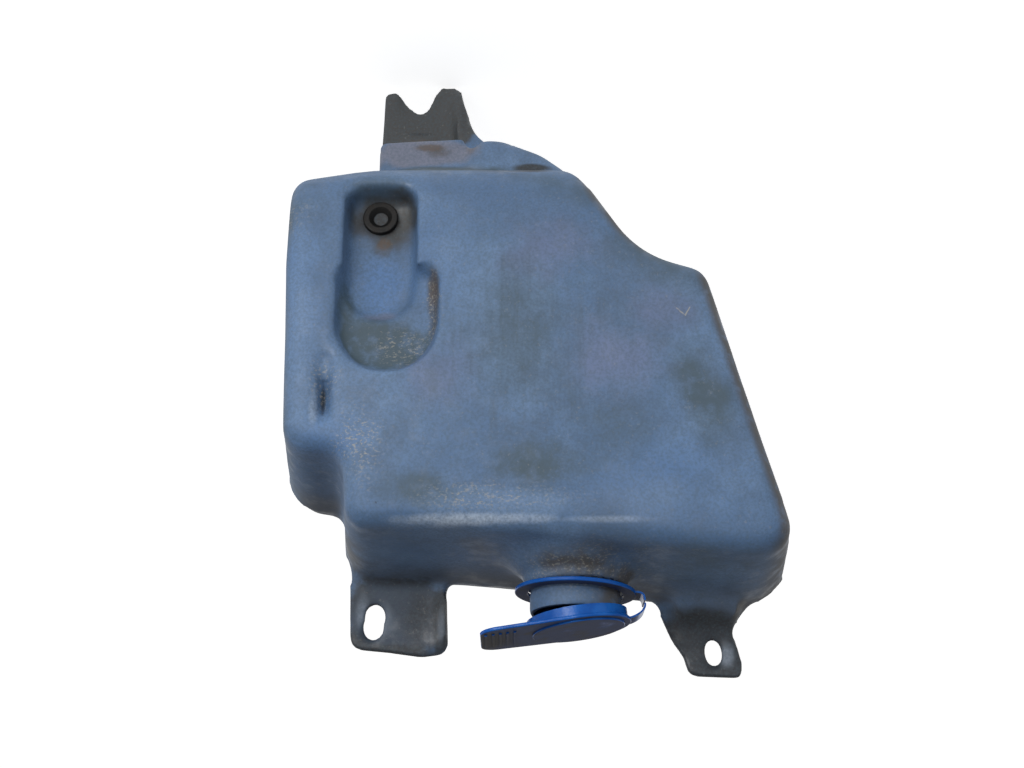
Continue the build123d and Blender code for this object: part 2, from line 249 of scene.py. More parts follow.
def makeScore():
    # one thin mark between two places on the part
    tree, got, give = newGroup(
        "scoreMark",
        [
            ("Vector", "Vector", None),
            ("From", "Vector", (0, 0, 0)),
            ("To", "Vector", (0, 0, 0.01)),
            ("Width", "Float", 0.0004),
        ],
        [("Mask", "Float")],
    )
    wobble = node(tree, "TexNoise", {"Vector": got["Vector"], "Scale": 180.0, "Detail": 2.0})
    bent = node(tree, "VectorMath", {0: wobble.outputs["Color"], 1: (0.5, 0.5, 0.5)}, operation="SUBTRACT")
    bent = node(tree, "VectorMath", {0: bent.outputs[0], "Scale": 0.0022}, operation="SCALE").outputs[0]
    place = node(tree, "VectorMath", {0: got["Vector"], 1: bent}, operation="ADD").outputs[0]
    along = node(tree, "VectorMath", {0: got["To"], 1: got["From"]}, operation="SUBTRACT").outputs[0]
    away = node(tree, "VectorMath", {0: place, 1: got["From"]}, operation="SUBTRACT").outputs[0]
    dot = node(tree, "VectorMath", {0: away, 1: along}, operation="DOT_PRODUCT").outputs["Value"]
    whole = node(tree, "VectorMath", {0: along, 1: along}, operation="DOT_PRODUCT").outputs["Value"]
    share = maths(tree, "DIVIDE", dot, whole, clamp=True)
    onLine = node(tree, "VectorMath", {0: along, "Scale": share}, operation="SCALE").outputs[0]
    off = node(tree, "VectorMath", {0: away, 1: onLine}, operation="SUBTRACT").outputs[0]
    distance = node(tree, "VectorMath", {0: off}, operation="LENGTH").outputs["Value"]
    core = maths(tree, "MULTIPLY", got["Width"], 0.3)
    mask = node(tree, "MapRange", {0: distance, 1: got["Width"], 2: core})
    tree.links.new(mask.outputs[0], give["Mask"])
    return tree


mottle, stain, scoreMark = makeMottle(), makeStain(), makeScore()


def startMaterial(name):
    material = bpy.data.materials.new(name)
    material.use_nodes = True
    tree = material.node_tree
    tree.nodes.clear()
    shader = tree.nodes.new("ShaderNodeBsdfPrincipled")
    output = tree.nodes.new("ShaderNodeOutputMaterial")
    tree.links.new(shader.outputs[0], output.inputs[0])
    place = node(tree, "TexCoord")
    return material, tree, shader, place


# the tank: blown blue plastic, stained and dirty
tank = {
    "voxel": 0.00162,
    "overallPasses": 3,
    "creasePasses": 26,
    "creaseDepth": 0.00006,
    "creaseSpread": 3,
    "smoothing": 0.5,
    "sharpAngle": 40,
    "wave": 0.0007,
    "waveSize": 0.05,
    # the neck, and the room cut for the ring at its foot
    "neck": (-0.099, -0.040),
    "neckRadius": 0.0224,
    "neckRim": 0.0055,
    "rimDepth": 0.0009,
    "rimReach": 0.0226,
    "neckBore": 0.0202,
    "boreLevel": -0.012,
    "neckRoom": 0.03,
    "ringSeat": -0.0079,
    "shoulder": 0.0275,
    "relief": 0.0009,
    "reliefWidth": 0.0034,
    "reliefHeight": 0.0040,
    # the inlet: its centre as x and z, its hole, and the y that its wall lies between
    "inlet": (-0.003, -0.189),
    "inletHole": 0.007,
    "inletSlack": 0.0002,
    "inletWall": (-0.0735, -0.069),
    "inletSlant": 0.3,
    # a place on the outside as x and z, the levels that tell the open loops apart,
    # and how far each is drawn out
    "outside": (-0.06, -0.12),
    "rimAbove": -0.02,
    "inletBelow": -0.17,
    "rimShift": (0, 0, 0.02),
    "inletShift": (0, -0.01, 0),
    # places that stay sharp, as x and z: the pinch with half its slot and half its surroundings, and the slit
    "pinch": (0.0202, -0.0900),
    "pinchSlot": (0.0034, 0.0112),
    "pinchCentre": (0.0202, -0.0925),
    "pinchRoom": (0.012, 0.026),
    "pinchFront": -0.06,
    "slit": (-0.072, -0.229),
    "slitSlope": 0.2,
    "slitHalf": 0.006,
    "slitEnds": (-0.098, -0.055),
    # soft fillings, as stations along x:
    # x, front y, front low z, front high z, back y, back low z, back high z
    "fillings": {
        "sumpSlope": [
            (0.0030, -0.079, -0.2105, -0.203, -0.030, -0.2200, -0.203),
            (-0.0040, -0.080, -0.2110, -0.203, -0.030, -0.2400, -0.203),
            (-0.0200, -0.080, -0.2110, -0.203, -0.030, -0.2430, -0.203),
            (-0.0440, -0.080, -0.2110, -0.203, -0.030, -0.2430, -0.203),
            (-0.0560, -0.080, -0.2110, -0.203, -0.030, -0.2400, -0.203),
            (-0.0680, -0.078, -0.2120, -0.203, -0.030, -0.2320, -0.203),
            (-0.0800, -0.076, -0.2120, -0.203, -0.030, -0.2290, -0.203),
            (-0.0930, -0.074, -0.2120, -0.203, -0.030, -0.2220, -0.203),
        ],
        "forkGusset": [
            (-0.0420, -0.0120, -0.2860, -0.256, -0.001, -0.2870, -0.256),
            (-0.0460, -0.0130, -0.2780, -0.254, -0.001, -0.2790, -0.254),
            (-0.0500, -0.0140, -0.2715, -0.252, -0.001, -0.2725, -0.252),
            (-0.0550, -0.0150, -0.2670, -0.250, -0.001, -0.2680, -0.250),
            (-0.0600, -0.0150, -0.2620, -0.248, -0.001, -0.2630, -0.248),
        ],
        "recessEnd": [
            (0.0150, -0.0868, -0.2075, -0.2050, -0.070, -0.2075, -0.2030),
            (0.0120, -0.0868, -0.2075, -0.2038, -0.070, -0.2075, -0.1975),
            (0.0060, -0.0868, -0.2075, -0.2030, -0.070, -0.2075, -0.1955),
            (-0.0030, -0.0868, -0.2075, -0.2028, -0.070, -0.2075, -0.1965),
            (-0.0120, -0.0868, -0.2075, -0.2030, -0.070, -0.2075, -0.1955),
            (-0.0190, -0.0868, -0.2075, -0.2038, -0.070, -0.2075, -0.1975),
            (-0.0230, -0.0868, -0.2075, -0.2050, -0.070, -0.2075, -0.2030),
        ],
    },
    # the neck's foot flares into the tank: lower and upper radius, lower and upper level
    "flare": (0.043, 0.0243, -0.0270, -0.0118),
    # broad smoothing: lowest corner, highest corner, passes
    "softened": [
        ((-0.210, -0.095, -0.040), (0.002, -0.062, 0.000), 16),
        ((0.016, -0.095, -0.075), (0.060, -0.055, -0.030), 14),
        ((-0.110, -0.090, -0.250), (0.010, -0.032, -0.202), 24),
        ((-0.064, -0.020, -0.285), (-0.043, 0.000, -0.250), 12),
        ((-0.026, -0.095, -0.212), (0.018, -0.076, -0.198), 16),
        ((0.007, -0.095, -0.122), (0.034, -0.082, -0.064), 14),
    ],
}


def besideNeck(place):
    return Vector((place.x - tank["neck"][0], place.y - tank["neck"][1])).length


def besideInlet(place):
    return Vector((place.x - tank["inlet"][0], place.z - tank["inlet"][1])).length


def nearTo(place, centre, half):
    x, z = tank[centre]
    halfX, halfZ = tank[half]
    return abs(place.x - x) < halfX and abs(place.z - z) < halfZ


def copyNode(name, newName):
    pickOnly(nodes[name])
    bpy.ops.object.duplicate()
    made = bpy.context.object
    made.name = newName
    made.parent = None
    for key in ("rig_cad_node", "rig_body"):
        if key in made:
            del made[key]
    bpy.ops.mesh.customdata_custom_splitnormals_clear()
    editMesh(made)
    bpy.ops.mesh.select_all(action="SELECT")
    bpy.ops.mesh.remove_doubles(threshold=0.00002)
    bpy.ops.object.mode_set(mode="OBJECT")
    return made


def openTank(made):
    # takes away the rim and the inlet's wall, which join the outside to the inside
    front, back = tank["inletWall"]

    def joins(f):
        atRim = f.center.z > tank["neckRim"] - tank["rimDepth"] and besideNeck(f.center) < tank["rimReach"]
        nearInlet = besideInlet(f.center) < tank["inletHole"] + tank["inletSlack"]
        onWall = abs(f.normal.y) < tank["inletSlant"] and front < f.center.y < back
        return atRim or (nearInlet and onWall)

    editMesh(made, "FACE")
    selectFaces(made, joins)
    bpy.ops.mesh.delete(type="FACE")
    bpy.ops.object.mode_set(mode="OBJECT")


def keepIsland(made, wall):
    # keeps what is joined to the face nearest to a place
    nearest = min(made.data.polygons, key=lambda f: (f.center - Vector(wall)).length).index
    editMesh(made, "FACE")
    selectFaces(made, lambda f: f.index == nearest)
    bpy.ops.mesh.select_linked()
    bpy.ops.mesh.select_all(action="INVERT")
    bpy.ops.mesh.delete(type="FACE")
    bpy.ops.object.mode_set(mode="OBJECT")


def closeLoops(made, shifts):
    # each open loop is drawn out by its shift and closed
    editMesh(made, "VERT")
    for wanted, shift in shifts:
        bpy.ops.mesh.select_all(action="DESELECT")
        bpy.ops.mesh.select_non_manifold(extend=False)
        bpy.ops.object.mode_set(mode="OBJECT")
        for v in made.data.vertices:
            v.select = v.select and wanted(v.co)
        bpy.ops.object.mode_set(mode="EDIT")
        bpy.ops.mesh.select_mode(type="EDGE")
        if Vector(shift).length:
            bpy.ops.mesh.extrude_edges_move(TRANSFORM_OT_translate={"value": shift})
        bpy.ops.mesh.edge_face_add()
        bpy.ops.mesh.select_mode(type="VERT")
    bpy.ops.mesh.select_all(action="SELECT")
    bpy.ops.mesh.normals_make_consistent(inside=False)
    bpy.ops.object.mode_set(mode="OBJECT")


def makeFilling(name, stations):
    # a block with one section per station, its points given one by one
    bpy.ops.object.select_all(action="DESELECT")
    bpy.ops.mesh.primitive_plane_add(size=1.0)
    block = bpy.context.object
    block.name = name
    editMesh(block, "FACE")
    bpy.ops.mesh.select_all(action="SELECT")
    for _ in stations[1:]:
        bpy.ops.mesh.extrude_region_move(TRANSFORM_OT_translate={"value": (0, 0, 1)})
    bpy.ops.object.mode_set(mode="OBJECT")
    for v in block.data.vertices:
        x, frontY, frontLow, frontHigh, backY, backLow, backHigh = stations[round(v.co.z)]
        upper = v.co.x > 0
        if v.co.y < 0:
            v.co = (x, frontY, frontHigh if upper else frontLow)
        else:
            v.co = (x, backY, backHigh if upper else backLow)
    editMesh(block)
    bpy.ops.mesh.select_all(action="SELECT")
    bpy.ops.mesh.normals_make_consistent(inside=False)
    bpy.ops.object.mode_set(mode="OBJECT")
    return block


def softenBroadly(made):
    # long radii where the blown wall turns, which the solid has tighter
    for low, high, passes in tank["softened"]:
        def within(v):
            inBox = all(low[i] < v.co[i] < high[i] for i in range(3))
            return inBox and besideNeck(v.co) > tank["neckRoom"] and not nearTo(v.co, "pinch", "pinchSlot")

        editMesh(made)
        selectPoints(made, within)
        bpy.ops.mesh.vertices_smooth(factor=tank["smoothing"], repeat=passes)
    bpy.ops.object.mode_set(mode="OBJECT")


def softenCreases(made):
    # hollow corners fill a little, as blown plastic does not reach into them
    mesh = made.data
    total = [Vector() for _ in mesh.vertices]
    count = [0] * len(mesh.vertices)
    for e in mesh.edges:
        a, b = e.vertices
        total[a] += mesh.vertices[b].co
        total[b] += mesh.vertices[a].co
        count[a] += 1
        count[b] += 1

    slitX, slitZ = tank["slit"]
    slitStart, slitEnd = tank["slitEnds"]

    def hollow(v):
        pull = (total[v.index] / count[v.index] - v.co).dot(v.normal)
        nearPinch = nearTo(v.co, "pinchCentre", "pinchRoom") and v.co.y < tank["pinchFront"]
        offSlit = abs(v.co.z - slitZ + tank["slitSlope"] * (v.co.x - slitX))
        nearSlit = offSlit < tank["slitHalf"] and slitStart < v.co.x < slitEnd
        away = besideNeck(v.co) > tank["shoulder"]
        return pull > tank["creaseDepth"] and away and not nearPinch and not nearSlit

    editMesh(made)
    selectPoints(made, hollow)
    for _ in range(tank["creaseSpread"]):
        bpy.ops.mesh.select_more()
    bpy.ops.mesh.vertices_smooth(factor=tank["smoothing"], repeat=tank["creasePasses"])
    bpy.ops.object.mode_set(mode="OBJECT")


def clearRingCorner(made):
    # room for the ring to turn: points that stand into the corner at the neck's foot move
    # to the nearer wall, and close to the corner past it, deeper than the solid has it
    neckX, neckY = tank["neck"]
    wall, seat = tank["neckRadius"], tank["ringSeat"]
    for v in made.data.vertices:
        away = besideNeck(v.co)
        reach, rise = away - wall, v.co.z - seat
        if away > tank["shoulder"] or rise < 0 or reach < -tank["relief"]:
            continue
        if rise < reach:
            v.co.z = seat - (tank["relief"] if reach < tank["reliefWidth"] else 0)
        elif rise < tank["reliefHeight"] or reach > 0:
            inward = (wall - tank["relief"]) / away
            v.co.x = neckX + (v.co.x - neckX) * inward
            v.co.y = neckY + (v.co.y - neckY) * inward


def makeTank():
    skin = copyNode("tank", "tankMoulding")
    openTank(skin)
    pickOnly(skin)
    bpy.ops.object.duplicate()
    hollow = bpy.context.object
    hollow.name = "tankHollow"
    keepIsland(skin, (tank["outside"][0], cadLow.y, tank["outside"][1]))
    keepIsland(hollow, (tank["neck"][0] + tank["neckBore"], tank["neck"][1], tank["boreLevel"]))
    rimSide = lambda place: place.z > tank["rimAbove"]
    inletSide = lambda place: place.z < tank["inletBelow"]
    closeLoops(skin, [(rimSide, (0, 0, 0)), (inletSide, (0, 0, 0))])
    closeLoops(hollow, [(rimSide, tank["rimShift"]), (inletSide, tank["inletShift"])])

    blocks = [makeFilling(name, stations) for name, stations in tank["fillings"].items()]
    foot, top, low, high = tank["flare"]
    bpy.ops.object.select_all(action="DESELECT")
    bpy.ops.mesh.primitive_cone_add(
        vertices=72, radius1=foot, radius2=top, depth=high - low, location=(*tank["neck"], (high + low) / 2)
    )
    pickOnly(skin, bpy.context.object, *blocks)
    bpy.ops.object.join()
    skin.data.remesh_voxel_size = tank["voxel"]
    skin.data.use_remesh_preserve_volume = True
    bpy.ops.object.voxel_remesh()
    print("  skin faces", len(skin.data.polygons))
    editMesh(skin)
    bpy.ops.mesh.select_all(action="SELECT")
    bpy.ops.mesh.vertices_smooth(factor=tank["smoothing"], repeat=tank["overallPasses"])
    bpy.ops.object.mode_set(mode="OBJECT")
    softenCreases(skin)
    softenBroadly(skin)

    cloud = bpy.data.textures.new("wallWave", "CLOUDS")
    cloud.noise_scale = tank["waveSize"]
    cloud.noise_depth = 1
    wave = skin.modifiers.new("wave", "DISPLACE")
    wave.texture, wave.strength, wave.mid_level = cloud, tank["wave"], 1.0
    bpy.ops.object.modifier_apply(modifier="wave")
    clearRingCorner(skin)

    cut = skin.modifiers.new("hollow", "BOOLEAN")
    cut.operation, cut.object, cut.solver = "DIFFERENCE", hollow, "MANIFOLD"
    bpy.ops.object.modifier_apply(modifier="hollow")
    bpy.data.objects.remove(hollow)
    pickOnly(skin)
    bpy.ops.object.shade_smooth_by_angle(angle=radians(tank["sharpAngle"]))
    print("  tank triangles", sum(len(f.vertices) - 2 for f in skin.data.polygons))
    return skin


finish = {
    "clean": paint(0.043, 0.092, 0.184),
    "pale": paint(0.082, 0.145, 0.255),
    "fresh": paint(0.057, 0.128, 0.272),
    "deep": paint(0.040, 0.074, 0.135),
    "violet": paint(0.082, 0.110, 0.205),
    "grimeAndShade": paint(0.028, 0.050, 0.066),
    "brown": paint(0.040, 0.033, 0.028),
    "caked": paint(0.025, 0.023, 0.020),
    "rusty": paint(0.060, 0.038, 0.024),
    "sootAndShade": paint(0.009, 0.009, 0.011),
    "dust": paint(0.230, 0.220, 0.190),
    "scuffAndHighlight": paint(0.310, 0.370, 0.460),
    "pinkish": paint(0.112, 0.118, 0.160),
}

# place in metres, half sizes, turn in degrees, feather, raggedness, strength
stains = {
    "fresh": [
        ((-0.004, -0.072, -0.152), (0.016, 0.008, 0.022), 0, 0.7, 0.3, 0.95),
        ((0.036, -0.080, -0.140), (0.016, 0.05, 0.070), 0, 0.9, 0.4, 0.85),
        ((0.020, -0.088, -0.066), (0.026, 0.04, 0.024), 0, 0.9, 0.5, 0.60),
        ((-0.030, -0.088, -0.160), (0.026, 0.03, 0.040), 0, 0.9, 0.5, 0.50),
        ((-0.140, -0.088, -0.052), (0.050, 0.03, 0.030), 0, 0.9, 0.5, 0.45),
    ],
    "pale": [
        # this pale band along the shoulder's roll is partly a painted highlight
        ((-0.060, -0.088, -0.036), (0.042, 0.02, 0.010), 0, 0.5, 0.35, 0.70),
        ((-0.038, -0.088, -0.165), (0.020, 0.03, 0.030), 0, 0.9, 0.5, 0.60),
        ((-0.120, -0.088, -0.108), (0.026, 0.03, 0.024), 0, 0.9, 0.6, 0.70),
        ((0.034, -0.080, -0.125), (0.014, 0.05, 0.085), 0, 0.8, 0.4, 0.70),
        ((-0.140, -0.088, -0.040), (0.030, 0.03, 0.012), 0, 0.9, 0.5, 0.45),
    ],
    "violet": [
        ((-0.118, -0.088, -0.109), (0.032, 0.03, 0.026), 0, 0.9, 0.6, 0.80),
        ((-0.086, -0.088, -0.166), (0.034, 0.03, 0.024), 20, 0.9, 0.6, 0.70),
        ((-0.140, -0.088, -0.132), (0.022, 0.03, 0.020), 0, 0.9, 0.6, 0.60),
        ((-0.034, -0.088, -0.100), (0.026, 0.03, 0.026), 0, 0.9, 0.6, 0.55),
    ],
    "pinkish": [
        ((-0.022, -0.034, -0.245), (0.036, 0.018, 0.012), 0, 0.4, 0.35, 0.90),
        ((-0.006, -0.072, -0.132), (0.022, 0.006, 0.006), 0, 0.6, 0.5, 0.60),
        ((-0.052, -0.055, -0.226), (0.016, 0.03, 0.008), 0, 0.8, 0.5, 0.50),
    ],
    "grimeAndShade": [
        ((-0.070, -0.088, -0.122), (0.030, 0.03, 0.050), 0, 0.9, 0.5, 0.60),
        ((-0.159, -0.086, -0.089), (0.018, 0.03, 0.036), 20, 0.85, 0.6, 0.85),
        ((-0.080, -0.088, -0.055), (0.028, 0.03, 0.016), 0, 0.85, 0.6, 0.85),
        ((-0.024, -0.088, -0.044), (0.024, 0.03, 0.012), 0, 0.85, 0.6, 0.70),
        ((-0.118, -0.088, -0.070), (0.030, 0.03, 0.020), 0, 0.9, 0.7, 0.45),
        ((-0.150, -0.070, -0.010), (0.046, 0.06, 0.012), 0, 0.9, 0.6, 0.60),
        ((0.040, -0.070, -0.186), (0.022, 0.03, 0.026), 0, 0.8, 0.7, 0.60),
        ((-0.140, -0.085, -0.160), (0.034, 0.03, 0.018), -30, 0.9, 0.6, 0.65),
        ((-0.095, -0.085, -0.200), (0.040, 0.03, 0.014), -24, 0.9, 0.6, 0.55),
        ((-0.004, -0.078, -0.117), (0.032, 0.007, 0.018), 0, 0.4, 0.35, 0.95),
        # dirt and painted shade on the pocket's left wall
        ((0.014, -0.076, -0.134), (0.008, 0.010, 0.022), 0, 0.5, 0.3, 0.95),
        ((0.006, -0.088, -0.150), (0.004, 0.02, 0.040), 0, 0.9, 0.4, 0.40),
        ((-0.003, -0.080, -0.200), (0.022, 0.02, 0.010), 0, 0.8, 0.5, 0.60),
        # the next two are painted shade: a soft dark crease where the front's roll meets the ledge
        ((-0.026, -0.054, -0.228), (0.034, 0.022, 0.0125), 0, 0.5, 0.3, 0.95),
        ((-0.062, -0.054, -0.226), (0.030, 0.022, 0.0110), 0, 0.6, 0.4, 0.90),
    ],
    "brown": [
        ((-0.006, -0.074, -0.187), (0.022, 0.014, 0.017), 0, 0.75, 0.4, 0.95),
        ((-0.014, -0.080, -0.194), (0.009, 0.014, 0.008), 0, 0.8, 0.4, 0.80),
        ((-0.005, -0.072, -0.174), (0.005, 0.006, 0.007), 0, 0.5, 0.5, 0.90),
        # partly painted shade: the top face darkens toward the parting line, with dirt
        ((-0.070, -0.016, -0.010), (0.085, 0.034, 0.014), 4, 0.9, 0.5, 0.85),
        ((-0.096, -0.070, -0.014), (0.036, 0.024, 0.012), 0, 0.9, 0.5, 0.95),
        ((-0.050, -0.070, -0.020), (0.012, 0.030, 0.008), 0, 0.9, 0.6, 0.60),
        # partly painted shade: the lobe's top face darkens toward the parting line, with dirt
        ((0.020, -0.030, -0.030), (0.034, 0.050, 0.020), 0, 0.9, 0.5, 0.85),
        ((-0.030, -0.020, -0.246), (0.010, 0.030, 0.006), 0, 0.6, 0.5, 0.80),
        ((-0.058, -0.080, -0.222), (0.034, 0.03, 0.007), -9, 0.8, 0.6, 0.75),
        ((-0.031, -0.080, -0.142), (0.0045, 0.012, 0.022), 0, 0.6, 0.6, 0.80),
        ((0.038, -0.060, -0.176), (0.010, 0.03, 0.012), 0, 0.8, 0.7, 0.50),
        ((0.026, -0.080, -0.030), (0.010, 0.03, 0.016), 0, 0.8, 0.6, 0.70),
    ],
    "caked": [
        ((-0.0080, -0.074, -0.1885), (0.0255, 0.016, 0.0205), 0, 0.70, 0.35, 0.96),
        ((-0.0150, -0.080, -0.1940), (0.0080, 0.014, 0.0090), 0, 0.80, 0.35, 0.75),
        ((-0.016, -0.010, -0.286), (0.038, 0.034, 0.0365), 0, 0.10, 0.12, 0.97),
    ],
    "rusty": [
        ((-0.018, -0.004, -0.2705), (0.013, 0.006, 0.0050), 0, 0.8, 0.5, 0.70),
        ((-0.026, -0.038, -0.2490), (0.010, 0.008, 0.0030), 0, 0.7, 0.6, 0.80),
        ((-0.047, -0.030, -0.2480), (0.004, 0.020, 0.0080), 0, 0.8, 0.5, 0.50),
        ((-0.005, -0.072, -0.1755), (0.0045, 0.006, 0.0045), 0, 0.6, 0.5, 0.80),
        ((-0.031, -0.080, -0.146), (0.0035, 0.012, 0.012), 0, 0.7, 0.6, 0.60),
    ],
    "sootAndShade": [
        ((0.010, -0.018, -0.012), (0.014, 0.034, 0.016), 0, 0.8, 0.4, 0.70),
        ((-0.0175, -0.004, -0.2768), (0.0110, 0.004, 0.0017), 0, 0.7, 0.3, 0.85),
        ((-0.012, -0.004, -0.002), (0.040, 0.014, 0.026), 0, 0.35, 0.5, 0.80),
        ((-0.010, -0.004, 0.016), (0.036, 0.014, 0.006), 0, 0.6, 0.4, 0.90),
        ((-0.034, -0.004, 0.000), (0.007, 0.014, 0.030), 0, 0.6, 0.4, 0.90),
        ((-0.164, -0.004, 0.014), (0.036, 0.020, 0.030), 0, 0.40, 0.25, 0.96),
        ((0.012, -0.004, 0.013), (0.014, 0.012, 0.012), 0, 0.70, 0.30, 0.90),
        ((-0.022, -0.004, 0.000), (0.010, 0.012, 0.020), 0, 0.80, 0.35, 0.60),
        # painted shade in the narrow slot of the pinch
        ((0.0206, -0.084, -0.0890), (0.0017, 0.010, 0.0105), 0, 0.7, 0.3, 0.85),
        # the next three are painted shade: the dark slit where the front's roll meets the hump behind it
        ((-0.079, -0.043, -0.2330), (0.013, 0.014, 0.0032), 0, 0.5, 0.25, 0.97),
        ((-0.079, -0.075, -0.2140), (0.013, 0.014, 0.0024), 0, 0.7, 0.25, 0.90),
        ((-0.064, -0.070, -0.2140), (0.018, 0.02, 0.0030), 0, 0.9, 0.4, 0.50),
        # painted shade: dark inside the grommet's bore
        ((-0.003, -0.072, -0.189), (0.0125, 0.008, 0.0125), 0, 0.6, 0.4, 0.80),
        ((-0.042, -0.010, -0.283), (0.004, 0.030, 0.018), 0, 0.8, 0.3, 0.60),
    ],
    # laid on last: painted highlights, the strongest along the shoulder's roll, and where the dark dirt has
    # been rubbed through
    "scuffAndHighlight": [
        ((-0.050, -0.087, -0.0295), (0.046, 0.02, 0.0036), 0, 0.8, 0.35, 0.85),
        ((-0.110, -0.087, -0.0290), (0.030, 0.02, 0.0022), 0, 0.8, 0.4, 0.30),
        ((0.0245, -0.088, -0.0830), (0.0030, 0.02, 0.0130), 0, 0.8, 0.5, 0.35),
        ((-0.1745, -0.0044, 0.0165), (0.0055, 0.003, 0.0090), 0, 0.7, 0.4, 0.42),
        ((-0.0040, -0.0044, -0.0010), (0.0085, 0.003, 0.0120), 0, 0.8, 0.4, 0.22),
        ((-0.0335, -0.0060, 0.0040), (0.0030, 0.006, 0.0150), 0, 0.8, 0.3, 0.20),
        ((0.0060, -0.0044, -0.0040), (0.0050, 0.003, 0.0120), 0, 0.8, 0.4, 0.30),
    ],
}

# beds of stuck grit, as light speckles: place, half sizes, strength
gritBeds = [
    ((-0.014, -0.080, -0.118), (0.017, 0.012, 0.014), 0.80),
    ((-0.030, -0.084, -0.138), (0.007, 0.012, 0.024), 0.80),
    ((0.003, -0.088, -0.066), (0.018, 0.02, 0.030), 0.75),
    ((0.020, -0.088, -0.096), (0.011, 0.02, 0.020), 0.70),
    ((0.034, -0.075, -0.182), (0.014, 0.03, 0.014), 0.65),
    ((-0.024, -0.030, -0.262), (0.022, 0.03, 0.014), 0.45),
    ((-0.060, -0.088, -0.040), (0.050, 0.03, 0.010), 0.50),
    ((-0.100, -0.060, -0.012), (0.080, 0.06, 0.014), 0.40),
]

# thin marks: from, to, width, colour
scores = [
    ((-0.1475, -0.088, -0.1335), (-0.1515, -0.088, -0.1300), 0.0005, "dust"),
    ((-0.1515, -0.088, -0.1300), (-0.1540, -0.088, -0.1340), 0.0005, "dust"),
    ((-0.1415, -0.088, -0.0135), (-0.1450, -0.088, -0.0120), 0.0005, "dust"),
    ((-0.0060, -0.088, -0.0370), (-0.0070, -0.088, -0.0345), 0.0007, "sootAndShade"),
    ((-0.0120, -0.086, -0.0185), (-0.0132, -0.086, -0.0172), 0.0006, "sootAndShade"),
    ((-0.1160, -0.086, -0.0215), (-0.1172, -0.086, -0.0200), 0.0006, "sootAndShade"),
]


# patchy covers of the tank: scale, detail and the two levels that the noise is cut between
patches = {
    "blotch": {"Scale": 14.0, "Detail": 7.0, "Low": 0.38, "High": 0.64},
    "deep": {"Scale": 38.0, "Detail": 8.0, "Low": 0.44, "High": 0.70},
    "broken": {"Scale": 130.0, "Detail": 8.0, "Low": 0.30, "High": 0.58},
    "runs": {"Scale": 22.0, "Detail": 6.0, "Stretch": (11.0, 1.0, 1.2), "Low": 0.42, "High": 0.80},
    "lumpy": {"Scale": 40.0, "Detail": 7.0, "Low": 0.20, "High": 0.62},
    "grain": {"Scale": 800.0, "Detail": 4.0, "Low": 0.35, "High": 0.70},
    "bright": {"Scale": 620.0, "Detail": 3.0, "Low": 0.60, "High": 0.78},
    "specks": {"Scale": 760.0, "Detail": 4.0, "Stretch": (0.8, 1.0, 1.3), "Low": 0.52, "High": 0.66},
    "shine": {"Scale": 28.0, "Detail": 5.0, "Low": 0.3, "High": 0.7},
}
amounts = {"deep": 0.65, "runs": 0.55, "grain": 0.42, "bright": 0.22, "scores": 0.8, "dulled": 0.5}
wetPlace = {"Centre": (-0.075, -0.088, -0.120), "Size": (0.09, 0.03, 0.085), "Feather": 0.95}

# dirt by direction and place: value at the start, at the end, and what it gives there
ramps = {
    "cover": (0.0, 1.0, 0.55, 1.0),
    "upward": (0.30, 0.95),
    "toSeam": (-0.045, -0.002, 0.02, 0.78),
    "lumpyTopShade": (0.0, 1.0, 0.45, 1.0),
    "slanted": (-0.22, -0.72),
    "slantedSide": (-0.085, -0.110, 0.0, 0.92),
    "sideways": (0.60, 0.98),
    "sidewaysEnd": (0.030, 0.038, 0.0, 0.45),
    "downward": (-0.60, -0.98, 0.0, 0.35),
    "roughness": (0.0, 1.0, 0.40, 0.66),
}
wall = {"fine": 700.0, "fineShare": 0.30, "coarse": 90.0, "coarseShare": 0.6, "strength": 0.22, "depth": 0.0006}


